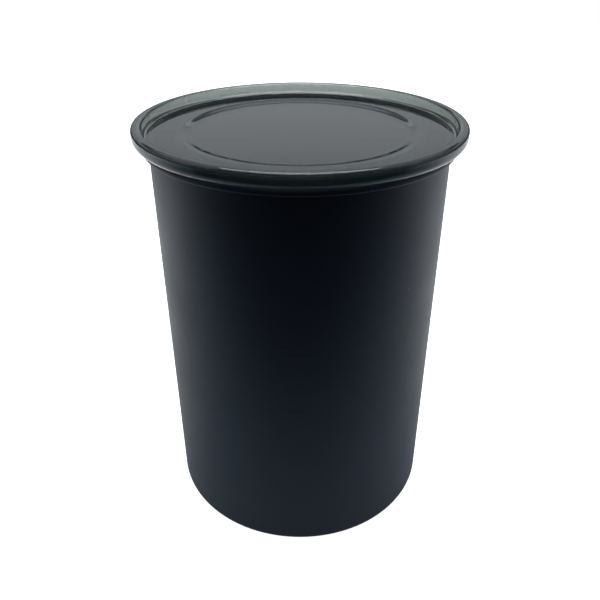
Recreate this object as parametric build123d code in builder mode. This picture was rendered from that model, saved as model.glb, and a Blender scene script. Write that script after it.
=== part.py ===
from build123d import *
import os

# A coffee canister: a drawn steel can, a clear outer lid, and an inner lid that is pressed
# down onto the coffee by a folding handle and vents through a valve at its centre.
# Millimetres, +Z up. The origin is at the centre of the base, where the can stands.
# Rest pose: outer lid seated, inner lid pressed part of the way down, handle folded to -Y.

os.makedirs("parts", exist_ok=True)

# One overrun for every cut that passes a face.
overrun = 1.0

# The can, drawn from one steel sheet.
body_radius = 60.5
body_height = 171.0
sheet = 0.6
base_corner = 3.2
base_foot = 5.8
base_recess = 2.0
recess_slope = 2.5
rim_projection = 2.6
rim_drop = 2.6
bore_radius = body_radius - sheet
rim_radius = body_radius + rim_projection
ring_radius = body_radius - base_corner
recess_foot = ring_radius - base_foot
recess_radius = recess_foot - recess_slope

# The clear outer lid: a panel with a sunk centre, a thick raised rim and a plug.
lid_overhang = 3.45
lid_rim_draft = 0.1
lid_rim_taper = 0.6
lid_seat_gap = 0.25
lid_rim_height = 6.3
lid_rim_width = 4.05
lid_rim_round = 1.1
lid_foot_round = 3.0
lid_cove = 1.4
panel_rise = 2.3
panel_thickness = 2.3
panel_land = 14.3
disc_drop = 0.85
disc_slope = 3.6
disc_blend_share = 2.75
plug_clearance = 0.25
plug_wall = 1.8
plug_depth = 9.5
plug_round = 0.6
lid_seat_z = body_height + lid_seat_gap
lid_top_z = lid_seat_z + lid_rim_height
panel_top_z = lid_seat_z + panel_rise
panel_under_z = panel_top_z - panel_thickness
disc_top_z = panel_top_z - disc_drop
lid_radius = rim_radius + lid_overhang
rim_foot = lid_radius - lid_rim_draft
rim_inner = lid_radius - lid_rim_width
cove_radius = rim_inner - lid_rim_taper
slope_outer = cove_radius - panel_land
disc_radius = slope_outer - disc_slope
disc_blend = disc_slope * disc_blend_share
plug_radius = bore_radius - plug_clearance

# The inner lid: a base plate, a wiper seal and a cup, stacked from press_level upwards.
press_level = 50.0
base_plate_gap = 3.9
base_plate_thickness = 2.4
seal_web = 1.2
seal_hold = 5.0
seal_fit = 0.3
seal_clearance = 0.08
seal_lip_height = 1.2
seal_lip_width = 0.8
seal_lip_lift = 0.3
cup_floor = 2.2
cup_height = 27.0
cup_gap = 2.3
cup_wall = 2.0
cup_cove = 2.0
cup_edge = 0.5
guide_clearance = 0.6
guide_height = 2.4
base_plate_radius = bore_radius - base_plate_gap
seal_inner_radius = base_plate_radius - seal_hold
cup_radius = bore_radius - cup_gap
web_z = press_level + base_plate_thickness
floor_z = web_z + seal_web
deck_z = floor_z + cup_floor
cup_top_z = press_level + cup_height
cup_inner_radius = cup_radius - cup_wall
guide_radius = bore_radius - guide_clearance
seal_radius = bore_radius - seal_clearance

# The valve tower, welded into the middle of the cup, with a vent passage below it.
tower_radius = 21.0
tower_wall = 3.8
tower_lip = 1.0
tower_fit = 0.1
tower_foot_width = 2.2
tower_foot_height = 1.4
plenum_height = 3.4
plenum_wall = 2.2
shelf_thickness = 2.0
vent_radius = 8.0
shelf_z = floor_z + plenum_height + shelf_thickness
pocket_radius = tower_radius - tower_wall

# The valve that stands in the tower.
housing_fit = 0.2
housing_floor = 2.2
housing_wall = 2.0
seat_radius = 8.6
seat_width = 1.2
seat_height = 0.5
port_radius = 1.5
port_circle = 5.2
port_count = 6
stem_radius = 1.5
stem_play = 0.3
bulb_radius = 2.6
bulb_height = 1.2
valve_gap = 0.05
valve_lift = 1.0
valve_margin = 0.2
flap_overlap = 0.6
flap_edge = 0.7
flap_middle = 1.2
cap_thickness = 1.8
cap_fit = 0.2
cap_spigot_wall = 1.4
cap_spigot_depth = 2.0
cap_slot_count = 12
cap_slot_width = 1.6
cap_slot_length = 5.0
cap_slot_circle = 9.6
cap_button_radius = 4.6
cap_button_height = 0.8
cap_button_round = 0.5
cap_stop_radius = 3.0
cap_stop_length = 1.05
housing_radius = pocket_radius - housing_fit
housing_bore = housing_radius - housing_wall
housing_floor_z = shelf_z + housing_floor
flap_radius = seat_radius + seat_width / 2 + flap_overlap
flap_z = housing_floor_z + seat_height + valve_gap
flap_top_z = flap_z + flap_middle
cap_stop_z = flap_top_z + valve_lift + valve_margin
housing_top_z = cap_stop_z + cap_stop_length
housing_height = housing_top_z - shelf_z
cap_top_z = housing_top_z + cap_thickness
tower_top_z = cap_top_z + tower_lip

# The filter under the valve, held in the base plate by a ring.
screen_radius = 15.8
screen_thickness = 0.3
screen_fit = 0.15
screen_hole_radius = 0.6
screen_ring_pitch = 2.4
screen_ring_count = 5
screen_ring_holes = 6
ring_height = 0.9
ring_width = 2.6
filter_depth = screen_thickness + ring_height

# The screws that clamp the seal between the plate and the cup.
screw_count = 6
screw_radius = 1.45
screw_fit = 0.03
screw_clearance = 0.25
screw_cover = 0.9
screw_edge = 8.4
screw_head_radius = 2.8
screw_head_height = 1.5
screw_recess_width = 0.8
screw_recess_length = 3.0
screw_recess_depth = 0.9
head_clearance = 0.3
head_sink = 0.2
boss_radius = 3.4
boss_height = 3.8
rib_thickness = 1.6
rib_height = 3.0

# The folding handle, its two pins and the lugs that carry them.
handle_gap = 1.5
handle_band = 9.0
handle_thickness = 5.0
handle_leg = 8.0
handle_round = 1.4
handle_float = 0.5
tab_length = 4.0
tab_width = 18.0
tab_round = 3.0
eye_radius = 3.7
pin_radius = 1.5
pin_running = 0.08
pin_fit = 0.03
pin_depth = 2.6
pin_end_round = 0.3
lug_gap = 0.7
lug_thickness = 4.0
lug_width = 9.0
rest_width = 8.0
rest_depth = 4.0
rest_gap = 0.2
pivot_z = deck_z + boss_height + handle_float + eye_radius
handle_under_z = pivot_z - handle_thickness / 2
handle_inner = tower_radius + handle_gap
handle_outer = handle_inner + handle_band
lug_inner = handle_outer + lug_gap
lug_outer = lug_inner + lug_thickness
pin_inner = tower_radius - pin_depth
screw_circle = seal_inner_radius - screw_edge
screw_head_z = press_level + head_sink
screw_tip_z = deck_z + boss_height - screw_cover
screw_length = screw_tip_z - screw_head_z - screw_head_height
grip_middle = handle_leg + (handle_inner + handle_outer) / 2


def corner(sketch, radius, height):
    """The vertex of a half section that lies nearest to a radius and a height."""
    return sketch.vertices().sort_by_distance((radius, height))[0]


# Can: the sheet runs from the base panel up the wall and is rolled outwards at the rim.
roll_radius = (sheet + rim_projection) / 2
roll_centre = (bore_radius + roll_radius, body_height - roll_radius)
with BuildPart() as canister_shell:
    with BuildSketch(Plane.XZ):
        with BuildLine():
            Polyline(
                (0, base_recess),
                (recess_radius, base_recess),
                (recess_foot, 0),
                (ring_radius, 0),
            )
            CenterArc((ring_radius, base_corner), base_corner, -90, 90)
            Line((body_radius, base_corner), (body_radius, roll_centre[1]))
            CenterArc(roll_centre, roll_radius - sheet, 180, -180)
            Polyline(
                (rim_radius - sheet, roll_centre[1]),
                (rim_radius - sheet, body_height - rim_drop),
                (rim_radius, body_height - rim_drop),
                (rim_radius, roll_centre[1]),
            )
            CenterArc(roll_centre, roll_radius, 0, 180)
            Line((bore_radius, roll_centre[1]), (bore_radius, base_corner))
            CenterArc((ring_radius, base_corner), base_corner - sheet, 0, -90)
            Polyline(
                (ring_radius, sheet),
                (recess_foot, sheet),
                (recess_radius, base_recess + sheet),
                (0, base_recess + sheet),
                (0, base_recess),
            )
        make_face()
    revolve(axis=Axis.Z)

# Outer lid: one clear moulding, turned from a half section.
disc_under_z = disc_top_z - panel_thickness
plug_inner = plug_radius - plug_wall
plug_bottom_z = lid_seat_z - plug_depth
with BuildPart() as outer_lid:
    with BuildSketch(Plane.XZ) as lid_section:
        with BuildLine():
            Polyline(
                (0, disc_top_z),
                (disc_radius, disc_top_z),
                (slope_outer, panel_top_z),
                (cove_radius, panel_top_z),
                (rim_inner, lid_top_z),
                (lid_radius, lid_top_z),
                (rim_foot, lid_seat_z),
                (plug_radius, lid_seat_z),
                (plug_radius, plug_bottom_z),
                (plug_inner, plug_bottom_z),
                (plug_inner, panel_under_z),
                (slope_outer, panel_under_z),
                (disc_radius, disc_under_z),
                (0, disc_under_z),
                close=True,
            )
        make_face()
        fillet(
            [corner(lid_section, disc_radius, z) for z in (disc_top_z, disc_under_z)]
            + [corner(lid_section, slope_outer, z) for z in (panel_top_z, panel_under_z)],
            disc_blend,
        )
        fillet([corner(lid_section, r, lid_top_z) for r in (rim_inner, lid_radius)], lid_rim_round)
        fillet(corner(lid_section, rim_foot, lid_seat_z), lid_foot_round)
        fillet(corner(lid_section, cove_radius, panel_top_z), lid_cove)
        fillet([corner(lid_section, r, plug_bottom_z) for r in (plug_inner, plug_radius)], plug_round)
    revolve(axis=Axis.Z)

# Inner lid, base plate: it clamps the seal from below and holds the filter.
plate_pad_radius = seal_inner_radius - seal_fit
with BuildPart() as plunger_base:
    with BuildSketch(Plane.XY.offset(press_level)):
        Circle(base_plate_radius)
    extrude(amount=base_plate_thickness)
    with BuildSketch(Plane.XY.offset(web_z)):
        Circle(plate_pad_radius)
    extrude(amount=seal_web)
    fillet(plunger_base.edges().group_by(Axis.Z)[0], cup_edge)
    with BuildSketch(Plane.XY.offset(press_level)):
        Circle(screen_radius + screen_fit)
    extrude(amount=filter_depth, mode=Mode.SUBTRACT)
    with BuildSketch(Plane.XY.offset(press_level)):
        Circle(screen_radius - ring_width)
    extrude(amount=floor_z - press_level + overrun, mode=Mode.SUBTRACT)
    with Locations(Location((0, 0, press_level), (180, 0, 0))):
        with PolarLocations(screw_circle, screw_count):
            CounterBoreHole(
                screw_radius + screw_clearance,
                screw_head_radius + head_clearance,
                screw_head_height + head_sink,
                floor_z - press_level + overrun,
            )

# Wiper seal: a flat web between plate and cup, and a lip that points down along the bore.
lip_bottom_z = press_level + seal_lip_lift
with BuildPart() as wiper_seal:
    with BuildSketch(Plane.XZ):
        with BuildLine():
            Polyline(
                (seal_inner_radius, web_z),
                (base_plate_radius + seal_fit, web_z),
                (seal_radius - seal_lip_width, lip_bottom_z),
                (seal_radius, lip_bottom_z),
                (seal_radius, lip_bottom_z + seal_lip_height),
                (cup_radius, floor_z),
                (seal_inner_radius, floor_z),
                close=True,
            )
        make_face()
    revolve(axis=Axis.Z)

# Cup: a pan with the lugs, screw bosses, ribs and handle rests, and a hole for the valve tower.
guide_z = cup_top_z - guide_height
with BuildPart() as plunger_cup:
    with BuildSketch(Plane.XZ) as cup_section:
        with BuildLine():
            Polyline(
                (tower_radius + tower_fit, deck_z),
                (cup_inner_radius, deck_z),
                (cup_inner_radius, cup_top_z),
                (guide_radius, cup_top_z),
                (guide_radius, guide_z),
                (cup_radius, guide_z),
                (cup_radius, floor_z),
                (tower_radius + tower_fit, floor_z),
                close=True,
            )
        make_face()
        fillet(corner(cup_section, cup_inner_radius, deck_z), cup_cove)
        fillet([corner(cup_section, r, cup_top_z) for r in (cup_inner_radius, guide_radius)], cup_edge)
    revolve(axis=Axis.Z)
    with BuildSketch(Plane.XY.offset(deck_z)):
        with PolarLocations(screw_circle, screw_count):
            Circle(boss_radius)
    extrude(amount=boss_height)
    rib_length = cup_inner_radius + cup_wall / 2 - screw_circle
    with BuildSketch(Plane.XY.offset(deck_z)):
        with PolarLocations(screw_circle + rib_length / 2, screw_count):
            Rectangle(rib_length, rib_thickness)
    extrude(amount=rib_height)
    with BuildSketch(Plane.XY.offset(deck_z)):
        with Locations((0, grip_middle), (0, -grip_middle)):
            Rectangle(rest_width, rest_depth)
    extrude(amount=handle_under_z - rest_gap - deck_z)
    with BuildSketch(Plane.YZ.offset(lug_inner)) as lug_section:
        with Locations((0, (deck_z + pivot_z) / 2)):
            Rectangle(lug_width, pivot_z - deck_z)
        with Locations((0, pivot_z)):
            Circle(lug_width / 2)
    extrude(amount=lug_thickness)
    with BuildSketch(Plane.YZ.offset(-lug_outer)):
        add(lug_section.sketch_local)
    extrude(amount=lug_thickness)
    with BuildSketch(Plane.XY.offset(floor_z)):
        with PolarLocations(screw_circle, screw_count):
            Circle(screw_radius + screw_fit)
    extrude(amount=screw_tip_z + screw_clearance - floor_z, mode=Mode.SUBTRACT)
    for side in (1, -1):
        with BuildSketch(Plane.YZ.offset(side * tower_radius)):
            with Locations((0, pivot_z)):
                Circle(pin_radius + pin_fit)
        extrude(amount=side * (lug_outer - tower_radius + overrun), mode=Mode.SUBTRACT)

# Valve tower: a collar with a shelf for the valve, a foot on the cup's deck and a hollow below.
plenum_radius = tower_radius - plenum_wall
shelf_under_z = shelf_z - shelf_thickness
foot_radius = tower_radius + tower_foot_width
foot_top_z = deck_z + tower_foot_height
with BuildPart() as valve_tower:
    with BuildSketch(Plane.XZ) as tower_section:
        with BuildLine():
            Polyline(
                (vent_radius, shelf_z),
                (pocket_radius, shelf_z),
                (pocket_radius, tower_top_z),
                (tower_radius, tower_top_z),
                (tower_radius, foot_top_z),
                (foot_radius, foot_top_z),
                (foot_radius, deck_z),
                (tower_radius, deck_z),
                (tower_radius, floor_z),
                (plenum_radius, floor_z),
                (plenum_radius, shelf_under_z),
                (vent_radius, shelf_under_z),
                close=True,
            )
        make_face()
        fillet([corner(tower_section, r, tower_top_z) for r in (pocket_radius, tower_radius)], cup_edge)
        fillet(corner(tower_section, foot_radius, foot_top_z), cup_edge)
    revolve(axis=Axis.Z)
    for side in (1, -1):
        with BuildSketch(Plane.YZ.offset(side * (pin_inner - pin_fit))):
            with Locations((0, pivot_z)):
                Circle(pin_radius + pin_fit)
        extrude(amount=side * (pin_depth + pin_fit + overrun), mode=Mode.SUBTRACT)

# Clamp screws: pan heads sunk in the plate, driven up into the bosses.
with BuildPart() as clamp_screws:
    with BuildSketch(Plane.XY.offset(screw_head_z)):
        with PolarLocations(screw_circle, screw_count):
            Circle(screw_head_radius)
    extrude(amount=screw_head_height)
    with BuildSketch(Plane.XY.offset(screw_head_z + screw_head_height)):
        with PolarLocations(screw_circle, screw_count):
            Circle(screw_radius)
    extrude(amount=screw_length)
    chamfer(clamp_screws.edges().group_by(Axis.Z)[0], screw_recess_width / 2)
    chamfer(clamp_screws.edges().group_by(Axis.Z)[-1], screw_recess_width / 2)
    with BuildSketch(Plane.XY.offset(screw_head_z)):
        with PolarLocations(screw_circle, screw_count):
            Rectangle(screw_recess_length, screw_recess_width)
            Rectangle(screw_recess_width, screw_recess_length)
    extrude(amount=screw_recess_depth, mode=Mode.SUBTRACT)

# Valve housing: a shallow pot with vent ports and a raised seat for the flap.
with BuildPart() as valve_housing:
    with BuildSketch(Plane.XY.offset(shelf_z)):
        Circle(housing_radius)
    extrude(amount=housing_height)
    with BuildSketch(Plane.XY.offset(housing_floor_z)):
        Circle(housing_bore)
    extrude(amount=housing_height, mode=Mode.SUBTRACT)
    with BuildSketch(Plane.XY.offset(housing_floor_z)):
        Circle(seat_radius + seat_width / 2)
        Circle(seat_radius - seat_width / 2, mode=Mode.SUBTRACT)
    extrude(amount=seat_height)
    with BuildSketch(Plane.XY.offset(shelf_z)):
        Circle(stem_radius + stem_play)
        with PolarLocations(port_circle, port_count):
            Circle(port_radius)
    extrude(amount=housing_floor, mode=Mode.SUBTRACT)

# Valve flap: a silicone mushroom whose bulb keeps it in the housing while it lifts to vent.
bulb_top_z = shelf_z - valve_lift - valve_margin
with BuildPart() as valve_flap:
    with BuildSketch(Plane.XZ):
        with BuildLine():
            Polyline(
                (0, flap_top_z),
                (flap_radius, flap_z + flap_edge),
                (flap_radius, flap_z),
                (stem_radius, flap_z),
                (stem_radius, bulb_top_z),
                (bulb_radius, bulb_top_z),
                (stem_radius, bulb_top_z - bulb_height),
                (0, bulb_top_z - bulb_height),
                close=True,
            )
        make_face()
    revolve(axis=Axis.Z)

# Valve cap: slotted cover that guards the flap and stops its lift.
cap_radius = pocket_radius - cap_fit
cap_spigot_radius = housing_bore - cap_fit
with BuildPart() as valve_cap:
    with BuildSketch(Plane.XY.offset(housing_top_z)):
        Circle(cap_radius)
    extrude(amount=cap_thickness)
    fillet(valve_cap.edges().group_by(Axis.Z)[-1], cap_button_round)
    with BuildSketch(Plane.XY.offset(cap_top_z)):
        Circle(cap_button_radius)
    extrude(amount=cap_button_height)
    fillet(valve_cap.edges().group_by(Axis.Z)[-1], cap_button_round)
    with BuildSketch(Plane.XY.offset(housing_top_z)):
        Circle(cap_spigot_radius)
        Circle(cap_spigot_radius - cap_spigot_wall, mode=Mode.SUBTRACT)
    extrude(amount=-cap_spigot_depth)
    with BuildSketch(Plane.XY.offset(cap_stop_z)):
        Circle(cap_stop_radius)
    extrude(amount=housing_top_z - cap_stop_z)
    with BuildSketch(Plane.XY.offset(housing_top_z)):
        with PolarLocations(cap_slot_circle, cap_slot_count):
            SlotOverall(cap_slot_length, cap_slot_width)
    extrude(amount=cap_thickness, mode=Mode.SUBTRACT)

# Filter screen: rings of small holes, each ring with six more than the one inside it.
with BuildPart() as filter_screen:
    with BuildSketch(Plane.XY.offset(press_level + ring_height)):
        Circle(screen_radius)
        Circle(screen_hole_radius, mode=Mode.SUBTRACT)
        for ring in range(1, screen_ring_count):
            with PolarLocations(ring * screen_ring_pitch, ring * screen_ring_holes):
                Circle(screen_hole_radius, mode=Mode.SUBTRACT)
    extrude(amount=screen_thickness)

# Filter ring: it presses the screen into its rebate.
with BuildPart() as filter_ring:
    with BuildSketch(Plane.XY.offset(press_level)):
        Circle(screen_radius)
        Circle(screen_radius - ring_width, mode=Mode.SUBTRACT)
    extrude(amount=ring_height)

# Handle: a flat bow round the tower, with an eye at each foot and a tab for the fingertip.
eye_length = handle_outer - handle_inner
with BuildPart() as handle:
    with BuildSketch(Plane.XY.offset(handle_under_z)):
        with Locations((0, -handle_leg)):
            Circle(handle_outer)
        with Locations((0, -handle_leg / 2)):
            Rectangle(2 * handle_outer, handle_leg)
        with Locations((0, -handle_leg - handle_inner - (handle_band + tab_length) / 2)):
            RectangleRounded(tab_width, handle_band + tab_length, tab_round)
        with Locations((0, -handle_leg)):
            Circle(handle_inner, mode=Mode.SUBTRACT)
        with Locations((0, -handle_leg / 2)):
            Rectangle(2 * handle_inner, handle_leg, mode=Mode.SUBTRACT)
        with Locations((0, handle_outer / 2)):
            Rectangle(2 * handle_outer, handle_outer, mode=Mode.SUBTRACT)
    extrude(amount=handle_thickness)
    fillet(handle.edges().group_by(Axis.Z)[0] + handle.edges().group_by(Axis.Z)[-1], handle_round)
    for side in (1, -1):
        with BuildSketch(Plane.YZ.offset(side * handle_inner)):
            with Locations((0, pivot_z)):
                Circle(eye_radius)
        extrude(amount=side * eye_length)
    with BuildSketch(Plane.YZ.offset(-handle_outer)):
        with Locations((0, pivot_z)):
            Circle(pin_radius + pin_running)
    extrude(amount=2 * handle_outer, mode=Mode.SUBTRACT)

# Pivot pins: each runs from a blind hole in the tower, through the handle's eye, into a lug.
with BuildPart() as pivot_pin_right:
    with BuildSketch(Plane.YZ.offset(pin_inner)):
        with Locations((0, pivot_z)):
            Circle(pin_radius)
    extrude(amount=lug_outer - pin_inner)
    chamfer(pivot_pin_right.edges().filter_by(GeomType.CIRCLE), pin_end_round)

with BuildPart() as pivot_pin_left:
    mirror(pivot_pin_right.part, about=Plane.YZ)

canister_shell.part.label = "canister_shell"
outer_lid.part.label = "outer_lid"
plunger_base.part.label = "plunger_base"
wiper_seal.part.label = "wiper_seal"
plunger_cup.part.label = "plunger_cup"
valve_tower.part.label = "valve_tower"
clamp_screws.part.label = "clamp_screws"
valve_housing.part.label = "valve_housing"
valve_flap.part.label = "valve_flap"
valve_cap.part.label = "valve_cap"
filter_screen.part.label = "filter_screen"
filter_ring.part.label = "filter_ring"
handle.part.label = "handle"
pivot_pin_right.part.label = "pivot_pin_right"
pivot_pin_left.part.label = "pivot_pin_left"

export_step(canister_shell.part, "parts/canister_shell.step")
export_step(outer_lid.part, "parts/outer_lid.step")
export_step(plunger_base.part, "parts/plunger_base.step")
export_step(wiper_seal.part, "parts/wiper_seal.step")
export_step(plunger_cup.part, "parts/plunger_cup.step")
export_step(valve_tower.part, "parts/valve_tower.step")
export_step(clamp_screws.part, "parts/clamp_screws.step")
export_step(valve_housing.part, "parts/valve_housing.step")
export_step(valve_flap.part, "parts/valve_flap.step")
export_step(valve_cap.part, "parts/valve_cap.step")
export_step(filter_screen.part, "parts/filter_screen.step")
export_step(filter_ring.part, "parts/filter_ring.step")
export_step(handle.part, "parts/handle.step")
export_step(pivot_pin_right.part, "parts/pivot_pin_right.step")
export_step(pivot_pin_left.part, "parts/pivot_pin_left.step")
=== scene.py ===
# %% [markdown]
# # A coffee canister with a clear lid
#
# The object is a straight steel can with a matte black coat. A clear, smoke-tinted lid with a
# thick raised rim rests on the can's rolled rim. Inside, a second lid with a folding handle is
# pressed down onto the coffee, and a valve in its middle lets the air out.
#
# The solid model gives every piece its place and size. This lesson gives the pieces their looks:
# smooth turned surfaces for the can and the clear lid, finishes for the rest, and a plain studio.

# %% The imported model
import math
import bpy
import numpy as np
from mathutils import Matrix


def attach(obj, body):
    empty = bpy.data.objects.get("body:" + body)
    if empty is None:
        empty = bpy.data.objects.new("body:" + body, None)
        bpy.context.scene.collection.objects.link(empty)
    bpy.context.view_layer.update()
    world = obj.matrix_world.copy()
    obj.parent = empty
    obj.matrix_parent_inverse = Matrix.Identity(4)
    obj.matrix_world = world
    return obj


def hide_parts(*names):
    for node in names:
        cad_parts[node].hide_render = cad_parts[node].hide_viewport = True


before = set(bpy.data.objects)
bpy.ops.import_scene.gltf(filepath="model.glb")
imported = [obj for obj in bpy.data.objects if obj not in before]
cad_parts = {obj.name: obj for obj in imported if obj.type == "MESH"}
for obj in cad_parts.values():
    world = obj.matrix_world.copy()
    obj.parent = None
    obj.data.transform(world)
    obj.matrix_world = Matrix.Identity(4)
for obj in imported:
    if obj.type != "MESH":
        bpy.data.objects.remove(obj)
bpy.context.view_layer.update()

# %% [markdown]
# ## Units and turned shapes
#
# The can and the lid are round, so each is one outline turned about the upright axis. A metal
# spinner and a moulder think in the same way: a drawing of half the section says everything.
# A curve with a Screw modifier would give the same kind of surface. Working the turned grid out
# with numpy gives each corner its own steps and closes both poles, which matters on a clear lid,
# where every facet and every gap would bend the light.

# %% Outline helpers
mm = 0.001


def rounded(corners, radii, steps=9.0, guard=0.06):
    """An outline with its corners rounded. Each corner becomes an arc that is tangent to both of
    its sides: it starts at r / tan(half the inner angle) from the corner, and its centre lies on
    the line that halves the angle. The arcs are drawn in steps of so many degrees, one number for
    all or one a corner. One guard point on each side keeps the flat next to an arc flat."""
    corners = np.asarray(corners, float)
    steps = np.broadcast_to(steps, len(corners) - 2)
    outline = [corners[:1]]
    for before, here, after, radius, step in zip(corners, corners[1:], corners[2:], radii, steps):
        if radius == 0:
            outline.append(here[None])
            continue
        back = (before - here) / np.linalg.norm(before - here)
        ahead = (after - here) / np.linalg.norm(after - here)
        half = math.acos(float(np.clip(back @ ahead, -1, 1))) / 2
        reach = radius / math.tan(half)
        middle = back + ahead
        centre = here + middle / np.linalg.norm(middle) * radius / math.sin(half)
        start = here + back * reach - centre
        sweep = math.pi - 2 * half
        side = 1.0 if back[0] * ahead[1] - back[1] * ahead[0] < 0 else -1.0
        count = max(2, math.ceil(math.degrees(sweep) / step)) + 1
        turn = side * np.linspace(0, sweep, count)
        bend = centre + np.stack(
            [
                start[0] * np.cos(turn) - start[1] * np.sin(turn),
                start[0] * np.sin(turn) + start[1] * np.cos(turn),
            ],
            axis=1,
        )
        outline.append(here[None] + back * (reach + guard))
        outline.append(bend)
        outline.append(here[None] + ahead * (reach + guard))
    outline.append(corners[-1:])
    return np.concatenate(outline)


def arc(centre, radius, start, end, step=9.0):
    """Points on a circle from one angle to another, in degrees. They go counter-clockwise where
    the end is larger: centre + radius * (cos t, sin t)."""
    count = max(2, math.ceil(abs(end - start) / step)) + 1
    turn = np.radians(np.linspace(start, end, count))
    return np.asarray(centre) + radius * np.stack([np.cos(turn), np.sin(turn)], axis=1)


print("a 90 degree corner gets", len(rounded([(0, 0), (1, 0), (1, 1)], [0.2])), "points")


# %% Turning an outline about the axis
def turned(name, outline, turns=256):
    """Surface of revolution. Point (i, j) is (r_i cos t_j, r_i sin t_j, z_i): (r_i, z_i) walks the
    outline of the half section, in millimetres, and t_j goes once round. The outline starts and
    ends on the axis, where each end becomes one pole vertex. An outline walked clockwise is
    reversed first, so that the faces point out of the material."""
    outline = np.asarray(outline, float) * mm
    r, z = outline[:, 0], outline[:, 1]
    if np.sum(r * np.roll(z, -1) - np.roll(r, -1) * z) < 0:
        outline = outline[::-1]
    rings = outline[1:-1]
    angle = np.linspace(0, 2 * np.pi, turns, endpoint=False)
    wall = np.empty((len(rings), turns, 3))
    wall[..., 0] = rings[:, 0, None] * np.cos(angle)
    wall[..., 1] = rings[:, 0, None] * np.sin(angle)
    wall[..., 2] = rings[:, 1, None]
    first = np.array([[0, 0, outline[0, 1]]])
    last = np.array([[0, 0, outline[-1, 1]]])
    points = np.concatenate([wall.reshape(-1, 3), first, last])
    at = np.arange(len(rings) * turns).reshape(len(rings), turns)
    ahead = np.roll(at, -1, axis=1)
    quads = np.stack([at[:-1], ahead[:-1], ahead[1:], at[1:]], axis=-1).reshape(-1, 4)
    low, high = at.size, at.size + 1
    low_fan = np.stack([np.full(turns, low), ahead[0], at[0]], axis=-1)
    high_fan = np.stack([np.full(turns, high), at[-1], ahead[-1]], axis=-1)
    mesh = bpy.data.meshes.new(name)
    mesh.from_pydata(points.tolist(), [], quads.tolist() + low_fan.tolist() + high_fan.tolist())
    mesh.polygons.foreach_set("use_smooth", np.ones(len(mesh.polygons), bool))
    mesh.update()
    piece = bpy.data.objects.new(name, mesh)
    bpy.context.scene.collection.objects.link(piece)
    print(name, len(mesh.polygons), "faces")
    return piece


# %% [markdown]
# ## The can
#
# The real can is drawn from one thin steel sheet: a raised base panel, a small round corner, a
# straight wall, and a rim that is rolled outwards so that no cut edge shows. A single surface
# with a Solidify modifier could stand for the sheet, but the roll turns back on itself and would
# pinch there. So the outline walks the outside of the sheet up to the roll, round it, and back
# down the inside, which shows when the lid is lifted.

# %% Can sizes, in millimetres
sheet = 0.6
body_radius = 60.5
body_height = 171.0
base_corner = 3.2
base_recess = 2.0
recess_radius = 49.0
recess_foot = 51.5
recess_round = 1.2
foot_round = 1.0
rim_radius = 63.1
rim_drop = 2.6
curl_inner_round = 0.1
curl_outer_round = 0.5
hold = 0.1  # how far from an arc's end a point holds the straight wall straight
corner_start = -85  # degrees; the flat ring before it ends where -90 would be
bore_radius = body_radius - sheet
ring_radius = body_radius - base_corner
roll_radius = (rim_radius - bore_radius) / 2
roll_centre = (bore_radius + roll_radius, body_height - roll_radius)
curl_end = body_height - rim_drop
print("the rim rolls on a radius of", round(roll_radius, 2), "mm")

# %% Can
corner_centre = (ring_radius, base_corner)
roll_z = roll_centre[1] - hold
outside = rounded(
    [(0, base_recess), (recess_radius, base_recess), (recess_foot, 0), (ring_radius, 0)],
    [recess_round, foot_round],
)
inside = rounded(
    [
        (ring_radius, sheet),
        (recess_foot, sheet),
        (recess_radius, base_recess + sheet),
        (0, base_recess + sheet),
    ],
    [foot_round, recess_round],
)
curl = rounded(
    [
        (rim_radius - sheet, roll_z),
        (rim_radius - sheet, curl_end),
        (rim_radius, curl_end),
        (rim_radius, roll_z),
    ],
    [curl_inner_round, curl_outer_round],
)
can_outline = np.concatenate(
    [
        outside,
        arc(corner_centre, base_corner, corner_start, 0),
        [(body_radius, base_corner + hold), (body_radius, roll_z)],
        arc(roll_centre, roll_radius - sheet, 180, 0),
        curl,
        arc(roll_centre, roll_radius, 0, 180),
        [(bore_radius, roll_z), (bore_radius, base_corner + hold)],
        arc(corner_centre, base_corner - sheet, 0, corner_start),
        inside,
    ]
)
can = turned("can_wall", can_outline)
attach(can, "can")
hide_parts("canister_shell")

# %% [markdown]
# ## The clear lid
#
# The lid is one clear moulding. Its middle is sunk a little, a flat ring lies round it, and a
# thick rim stands up at the edge. Under it a plug reaches into the can. All of it is one closed
# outline, because light has to go in through one face and out through another. The corners that
# show as highlights are drawn in fine steps, the hidden ones in coarse steps.

# %% Clear lid
seat = 171.25  # the underside of the rim, which rests on the can
rim_top = 177.55
rim_inner_foot = 61.9
rim_inner_top = 62.5
rim_outer_top = 66.55
rim_outer_foot = 66.45
panel_top = 173.55
panel = 2.3  # how thick the disc and the ring are
disc_top = 172.7
disc_radius = 44.0
ring_inner = 47.6
plug_outer = 59.65
plug_inner = 57.85
plug_foot = 161.75
dish = (9.9, 1.5)  # the round of the dished middle, and its step in degrees
plain = (0.0, 9.0)  # a corner that stays sharp
eased = (0.6, 9.0)  # the plug's foot
lid_corners = [
    ((disc_radius, disc_top), *dish),
    ((ring_inner, panel_top), *dish),
    ((rim_inner_foot, panel_top), 1.4, 6.0),
    ((rim_inner_top, rim_top), 1.1, 5.0),
    ((rim_outer_top, rim_top), 1.6, 5.0),
    ((rim_outer_foot, seat), 3.0, 4.0),
    ((plug_outer, seat), *plain),
    ((plug_outer, plug_foot), *eased),
    ((plug_inner, plug_foot), *eased),
    ((plug_inner, panel_top - panel), *plain),
    ((ring_inner, panel_top - panel), *dish),
    ((disc_radius, disc_top - panel), *dish),
]
places, rounds, steps = zip(*lid_corners)
lid_outline = rounded([(0, disc_top), *places, (0, disc_top - panel)], rounds, steps)
lid = turned("clear_lid", lid_outline, turns=320)
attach(lid, "lid")
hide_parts("outer_lid")


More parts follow.
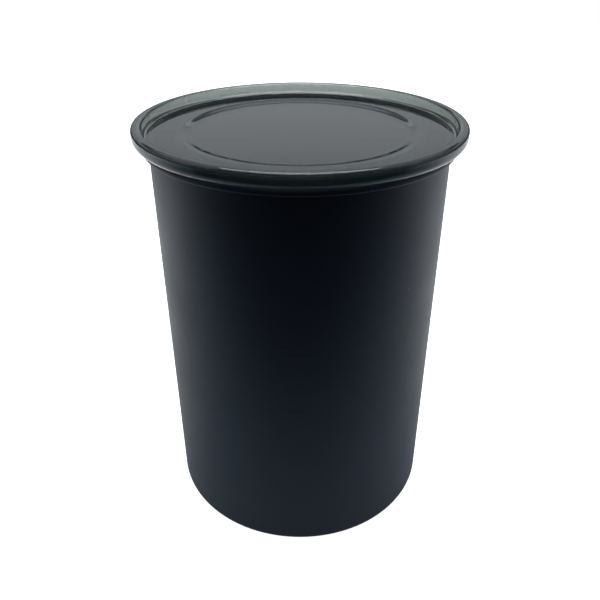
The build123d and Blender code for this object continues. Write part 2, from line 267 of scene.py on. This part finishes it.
# %% [markdown]
# ## Finishes
#
# A finish is colour, gloss and a fine surface. One flat colour with one roughness would do for
# none of these pieces: a powder coat and a moulded face vary a little in tone and in gloss, and
# that is what the eye reads as a material. Two effects turn up on many of the pieces, so each is
# a node group that is built once: a fine grain, as a powder coat and a spark-eroded mould have,
# and the sparse pale dust that a dark surface always shows.

# %% Small helpers for node trees
def linear(r, g, b):
    """A colour picked on screen, 0 to 255, as the linear light that a shader wants."""
    c = np.array([r, g, b]) / 255
    return (*np.where(c <= 0.04045, c / 12.92, ((c + 0.055) / 1.055) ** 2.4).tolist(), 1.0)


def node(tree, kind, inputs=None, **settings):
    """A node with its settings made and its inputs filled in. An input that is given another
    node's output is linked to it, and one that is given a value keeps the value."""
    made = tree.nodes.new(kind)
    for name, value in settings.items():
        setattr(made, name, value)
    for name, value in (inputs or {}).items():
        if isinstance(value, bpy.types.NodeSocket):
            tree.links.new(value, made.inputs[name])
        else:
            made.inputs[name].default_value = value
    return made


def calc(tree, operation, *values):
    """The output of a Math node that works on these values or outputs, in their order."""
    inputs = dict(enumerate(values))
    return node(tree, "ShaderNodeMath", inputs, operation=operation).outputs[0]


def ramp(tree, value, low, high, start=0.0, end=1.0, **settings):
    """An output that goes from low to high as the value goes from start to end, and no further."""
    inputs = {"Value": value, "From Min": start, "From Max": end, "To Min": low, "To Max": high}
    return node(tree, "ShaderNodeMapRange", inputs, **settings).outputs["Result"]


def group_tree(name, inputs, outputs):
    """An empty node group with named inputs (name, type, value) and outputs (name, type)."""
    tree = bpy.data.node_groups.new(name, "ShaderNodeTree")
    for title, kind, value in inputs:
        socket = tree.interface.new_socket(title, in_out="INPUT", socket_type=kind)
        if value is not None:
            socket.default_value = value
    for title, kind in outputs:
        tree.interface.new_socket(title, in_out="OUTPUT", socket_type=kind)
    return tree, tree.nodes.new("NodeGroupInput").outputs, tree.nodes.new("NodeGroupOutput").inputs


print("mid grey on screen is", round(linear(128, 128, 128)[0], 3), "in linear light")

# %% Fine grain
grain, given, gives = group_tree(
    "FineGrain",
    [("Vector", "NodeSocketVector", None), ("Scale", "NodeSocketFloat", 2500.0)],
    [("Height", "NodeSocketFloat"), ("Tone", "NodeSocketFloat")],
)
fine = node(
    grain,
    "ShaderNodeTexNoise",
    {"Vector": given["Vector"], "Scale": given["Scale"], "Detail": 3.0, "Roughness": 0.6},
)
broad = node(
    grain,
    "ShaderNodeTexNoise",
    {"Vector": given["Vector"], "Scale": 34.0, "Detail": 3.0, "Roughness": 0.55},
)
grain.links.new(fine.outputs["Fac"], gives["Height"])
grain.links.new(broad.outputs["Fac"], gives["Tone"])
print(grain.name, "has", len(grain.nodes), "nodes")

# %% Dust
dust, given, gives = group_tree(
    "SparseDust",
    [
        ("Vector", "NodeSocketVector", None),
        ("Scale", "NodeSocketFloat", 90.0),
        ("Size", "NodeSocketFloat", 0.02),
    ],
    [("Mask", "NodeSocketFloat")],
)
cells = node(
    dust,
    "ShaderNodeTexVoronoi",
    {"Vector": given["Vector"], "Scale": given["Scale"], "Randomness": 1.0},
)
kept = node(dust, "ShaderNodeSeparateColor", {"Color": cells.outputs["Color"]})
rare = calc(dust, "GREATER_THAN", kept.outputs["Red"], 0.72)
close = calc(dust, "LESS_THAN", cells.outputs["Distance"], given["Size"])
dust.links.new(calc(dust, "MULTIPLY", rare, close), gives["Mask"])
print(dust.name, "has", len(dust.nodes), "nodes")


# %% Materials from the groups
def blank(name):
    """A new material with only a Principled shader and an output, and Object coordinates."""
    material = bpy.data.materials.new(name)
    material.use_nodes = True
    tree = material.node_tree
    shader = tree.nodes["Principled BSDF"]
    place = tree.nodes.new("ShaderNodeTexCoord")
    return material, tree, shader, place.outputs["Object"]


def grained(name, colour, roughness, grain_scale, depth, spread=0.06, dust_size=0.0):
    """A matte or satin finish: colour and roughness wander a little with the broad noise, the fine
    noise is a bump, and dust, where asked for, lifts the colour to a pale grey."""
    material, tree, shader, place = blank(name)
    skin = node(tree, "ShaderNodeGroup", node_tree=grain)
    skin.inputs["Scale"].default_value = grain_scale
    tree.links.new(place, skin.inputs["Vector"])
    tone = skin.outputs["Tone"]
    light = [min(1.0, c * (1 + 3 * spread)) for c in colour[:3]] + [1.0]
    dark = [c * (1 - 3 * spread) for c in colour[:3]] + [1.0]
    shade = node(tree, "ShaderNodeMix", {"Factor": tone, "A": dark, "B": light}, data_type="RGBA")
    gloss = ramp(tree, tone, roughness - spread, roughness + spread)
    tree.links.new(gloss, shader.inputs["Roughness"])
    bump = node(
        tree,
        "ShaderNodeBump",
        {"Strength": 0.5, "Distance": depth, "Height": skin.outputs["Height"]},
    )
    tree.links.new(bump.outputs["Normal"], shader.inputs["Normal"])
    if dust_size:
        motes = node(tree, "ShaderNodeGroup", node_tree=dust)
        motes.inputs["Size"].default_value = dust_size
        tree.links.new(place, motes.inputs["Vector"])
        shade = node(
            tree,
            "ShaderNodeMix",
            {
                "Factor": motes.outputs["Mask"],
                "A": shade.outputs["Result"],
                "B": linear(120, 122, 126),
            },
            data_type="RGBA",
        )
    tree.links.new(shade.outputs["Result"], shader.inputs["Base Color"])
    return material


def metal(name, colour, roughness, grain_scale, depth):
    """A bare metal: fully metallic, with its colour and roughness wandering along a fine noise."""
    material = grained(name, colour, roughness, grain_scale, depth, spread=0.04)
    material.node_tree.nodes["Principled BSDF"].inputs["Metallic"].default_value = 1.0
    return material


coat_black = linear(15, 24, 41)
coat = grained("black_powder_coat", coat_black, 0.45, 2600.0, 0.00003, dust_size=0.022)
mould_black = grained("black_moulded", linear(38, 39, 42), 0.45, 1800.0, 0.00003)
seal_grey = grained("grey_silicone", linear(92, 93, 95), 0.6, 900.0, 0.00002)
valve_black = grained("valve_satin", linear(58, 59, 62), 0.35, 1500.0, 0.00002)
handle_black = grained("handle_satin", linear(46, 47, 50), 0.32, 1200.0, 0.00002)
flap_pale = grained("pale_silicone", linear(206, 203, 196), 0.5, 900.0, 0.00002)
steel_plated = metal("plated_steel", linear(196, 196, 198), 0.28, 1400.0, 0.00001)
steel_sheet = metal("perforated_steel", linear(200, 200, 202), 0.35, 1800.0, 0.00001)
steel_ground = metal("ground_steel", linear(192, 192, 196), 0.22, 2200.0, 0.00001)
print("finishes so far:", len(bpy.data.materials))

# %% [markdown]
# ## Smoke-tinted plastic
#
# The lid is almost clear where it is thin, and grey-green where light goes a long way in it, as in
# its thick rim. A tint painted on the surface can't do that, so the tint is inside the closed
# shape: after a way d, exp(-density * (1 - colour) * d) of the light is left. A trace of haze
# scatters light on its way too, which keeps the near rim from going black. Shadow rays pass
# through a plain transparent shader, so that enough light reaches what is under the lid.

# %% Clear plastic
clear, tree, shader, place = blank("clear_moulding")
shader.inputs["Transmission Weight"].default_value = 1.0
shader.inputs["IOR"].default_value = 1.49
shader.inputs["Base Color"].default_value = linear(250, 252, 251)
skin = node(tree, "ShaderNodeGroup", node_tree=grain)
skin.inputs["Scale"].default_value = 400.0
tree.links.new(place, skin.inputs["Vector"])
tree.links.new(ramp(tree, skin.outputs["Tone"], 0.0, 0.02), shader.inputs["Roughness"])
shadow_ray = tree.nodes.new("ShaderNodeLightPath").outputs["Is Shadow Ray"]
see = node(tree, "ShaderNodeBsdfTransparent", {"Color": linear(232, 238, 236)})
surface = node(
    tree, "ShaderNodeMixShader", {"Fac": shadow_ray, 1: shader.outputs[0], 2: see.outputs[0]}
)
smoke_colour = (0.02, 0.09, 0.07, 1.0)
smoke_density = 370.0
smoke = node(
    tree, "ShaderNodeVolumeAbsorption", {"Color": smoke_colour, "Density": smoke_density}
)
haze = node(tree, "ShaderNodeVolumeScatter", {"Color": (0.72, 0.88, 1.0, 1.0), "Density": 24.0})
body = node(tree, "ShaderNodeAddShader", {0: smoke.outputs["Volume"], 1: haze.outputs["Volume"]})
out = tree.nodes["Material Output"]
tree.links.new(surface.outputs[0], out.inputs["Surface"])
tree.links.new(body.outputs[0], out.inputs["Volume"])
left = math.exp(-smoke_density * (1 - smoke_colour[1]) * panel * mm)
print("straight through the disc,", round(left, 2), "of the green light is left")

# %% [markdown]
# ## The pieces inside
#
# The inner lid, its valve and its handle keep the solid model's own shapes. Most of them are
# moulded in black plastic, satin on the handle, where hands polish it. The seal and the valve's
# flap are silicone, and the screws, the screen and the hinge pins are steel. A piece gets its
# material through its slots, so nothing of its shape or place changes.

# %% Every piece gets its finish
finishes = {
    "plunger_base": mould_black,
    "plunger_cup": mould_black,
    "valve_tower": mould_black,
    "wiper_seal": seal_grey,
    "clamp_screws": steel_plated,
    "valve_housing": valve_black,
    "valve_flap": flap_pale,
    "valve_cap": valve_black,
    "filter_screen": steel_sheet,
    "filter_ring": valve_black,
    "handle": handle_black,
    "pivot_pin_right": steel_ground,
    "pivot_pin_left": steel_ground,
}


def dress(piece, material):
    """The piece gets one material, on every face."""
    piece.data.materials.clear()
    piece.data.materials.append(material)


for name, material in finishes.items():
    dress(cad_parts[name], material)
dress(can, coat)
dress(lid, clear)
print("pieces with a finish:", len(finishes) + 2)

# %% [markdown]
# ## The studio
#
# The photograph shows the can on plain white, with no visible horizon, but what the can and the
# lid mirror is grey. The lid mirrors the surround behind the can, which has bands of height. The
# black coat mirrors the ground in front. For the rays that a surface mirrors or scatters, the
# ground's colour is painted: pale at the can, darker further out as painted shade, and tinted blue
# there as a painted reflection for the coat. For these rays the ground also glows a little,
# painted light that lifts its shadow at the can. On the camera's side the surround is dark, so
# that the coat stays black. The camera, and what it sees straight through the clear lid, gets
# plain white. The ground glows for it, so the can's shadow doesn't show there, as it doesn't in
# the photograph.

# %% What the page shows
def page_white(tree):
    """1 for a ray that shows the white page: one from the camera, or one that went straight through
    the clear lid, so that all its turns so far were transmissions. Rays that a surface has mirrored
    see the studio as it is. It also hands back the output that is 1 for the camera's own rays."""
    path = tree.nodes.new("ShaderNodeLightPath").outputs
    turned_back = calc(tree, "SUBTRACT", path["Ray Depth"], path["Transmission Depth"])
    never = calc(tree, "LESS_THAN", turned_back, 0.5)
    through = calc(tree, "MULTIPLY", path["Is Transmission Ray"], never)
    return calc(tree, "MAXIMUM", path["Is Camera Ray"], through), path["Is Camera Ray"]


# %% Ground
side, front, back = 0.9, -0.2, 1.4
ground_mesh = bpy.data.meshes.new("ground")
ground_mesh.from_pydata(
    [(-side, front, 0), (side, front, 0), (side, back, 0), (-side, back, 0)], [], [(0, 1, 2, 3)]
)
ground = bpy.data.objects.new("ground", ground_mesh)
bpy.context.scene.collection.objects.link(ground)
paper, tree, shader, place = blank("pale_ground_painted_light")
shader.inputs["Roughness"].default_value = 0.9
shader.inputs["Specular IOR Level"].default_value = 0.1
depth = node(tree, "ShaderNodeSeparateXYZ", {"Vector": place}).outputs["Y"]
white, camera_ray = page_white(tree)
# Painted shade: for mirrored and scattered rays the ground is darker towards the front, pale at the
# can and behind it.
painted_falloff_shade = ramp(tree, depth, 0.02, 1.0, start=front, end=0.15)
tone = calc(tree, "MAXIMUM", painted_falloff_shade, calc(tree, "MULTIPLY", white, 0.8))
# Painted reflection: further out in front the ground turns blue for mirrored and scattered rays, so
# that the black coat mirrors a blue-black.
near = ramp(tree, depth, 1.0, 0.1, start=-0.12, end=0.02)
mirrored = calc(tree, "SUBTRACT", 1.0, white)
painted_blue_reflection = node(
    tree,
    "ShaderNodeMix",
    {"Factor": calc(tree, "MULTIPLY", near, mirrored), "A": tone, "B": (0.56, 0.92, 1.25, 1)},
    data_type="RGBA",
    blend_type="MULTIPLY",
)
tree.links.new(painted_blue_reflection.outputs["Result"], shader.inputs["Base Color"])
# The ground glows to plain white for the camera and for rays straight through the lid. For all
# other rays it glows at 0.1, painted light that lifts its shadow at the can where the coat mirrors
# it.
white_page_and_painted_glow_level = calc(tree, "MULTIPLY_ADD", camera_ray, 0.4, ramp(tree, white, 0.1, 0.6))
white_page_and_painted_glow = node(tree, "ShaderNodeEmission", {"Strength": white_page_and_painted_glow_level})
both = node(tree, "ShaderNodeAddShader", {0: shader.outputs[0], 1: white_page_and_painted_glow.outputs[0]})
tree.links.new(both.outputs[0], tree.nodes["Material Output"].inputs["Surface"])
dress(ground, paper)
print("ground, metres:", 2 * side, "by", back - front)

# %% Surround
bands = [  # how far up a ray points, as the sine of its elevation, and the grey level there
    (0.00, 0.06),
    (0.08, 0.08),
    (0.14, 0.45),
    (0.22, 0.60),
    (0.30, 0.64),
    (0.333, 0.56),
    (0.347, 0.95),
    (0.380, 0.90),
    (0.400, 0.15),
    (0.475, 0.20),
    (0.510, 0.60),
    (0.560, 0.80),
    (0.620, 0.95),
    (1.00, 0.80),
]
world = bpy.data.worlds.new("surround")
bpy.context.scene.world = world
world.use_nodes = True
tree = world.node_tree
tree.nodes.clear()
look = tree.nodes.new("ShaderNodeTexCoord").outputs["Generated"]
ray = node(tree, "ShaderNodeSeparateXYZ", {"Vector": look}).outputs
height = node(tree, "ShaderNodeValToRGB", {"Fac": ray["Z"]})
while len(height.color_ramp.elements) < len(bands):
    height.color_ramp.elements.new(0.5)
for stop, (place_z, level) in zip(height.color_ramp.elements, bands):
    stop.position = place_z
    stop.color = (level * 0.94, level, level * 1.05, 1)
white, _ = page_white(tree)
colour = node(
    tree,
    "ShaderNodeMix",
    {"Factor": white, "A": height.outputs["Color"], "B": (1, 1, 1, 1)},
    data_type="RGBA",
)
behind = ramp(tree, ray["Y"], 0.13, 1.0, start=-0.55, end=0.15, interpolation_type="SMOOTHSTEP")
strength = calc(tree, "MAXIMUM", behind, white)
sky = node(tree, "ShaderNodeBackground", {"Color": colour.outputs["Result"], "Strength": strength})
out = tree.nodes.new("ShaderNodeOutputWorld")
tree.links.new(sky.outputs[0], out.inputs["Surface"])
print("surround:", len(bands), "bands, the brightest", max(level for _, level in bands))

# %% [markdown]
# ## The lamp
#
# One lamp lights the object. It is a disk almost a metre wide, overhead and a little behind the
# can, so its light has no hard edge, and its mirror image in the round of the near rim is a fine
# line along it. Rays that go through the lid don't see it, because the photograph shows no lamp
# there.

# %% Lamp
lamp = bpy.data.lights.new("overhead", "AREA")
lamp.shape = "DISK"
lamp.size = 0.95
lamp.energy = 9.0
lamp_object = bpy.data.objects.new("overhead", lamp)
lamp_object.location = (0, 0.1, 1.1)
lamp_object.rotation_euler = (math.radians(-5), 0, 0)
lamp_object.visible_transmission = False
bpy.context.scene.collection.objects.link(lamp_object)
print("lamp:", lamp.energy, "W at", [round(v, 2) for v in lamp_object.location])

# %% [markdown]
# ## Camera
#
# The lens and the place were fitted to the can's outline in the photograph: a camera about
# 30 cm away, looking down at 30.7 degrees. Being this close, it sees the lid at a flat angle.

# %% Camera
elevation = math.radians(30.675)
distance = 4.9107 * body_radius * mm
aim = 1.53103 * body_radius * mm
camera = bpy.data.cameras.new("camera")
camera.lens = 38.09
camera.sensor_width = 36.0
camera.clip_start = 0.01
camera_object = bpy.data.objects.new("camera", camera)
camera_object.location = (
    0,
    -distance * math.cos(elevation),
    aim + distance * math.sin(elevation),
)
camera_object.rotation_euler = (math.pi / 2 - elevation, 0, 0)
bpy.context.scene.collection.objects.link(camera_object)
bpy.context.scene.camera = camera_object
bpy.context.scene.view_settings.view_transform = "Standard"
print("camera at", [round(v, 4) for v in camera_object.location])
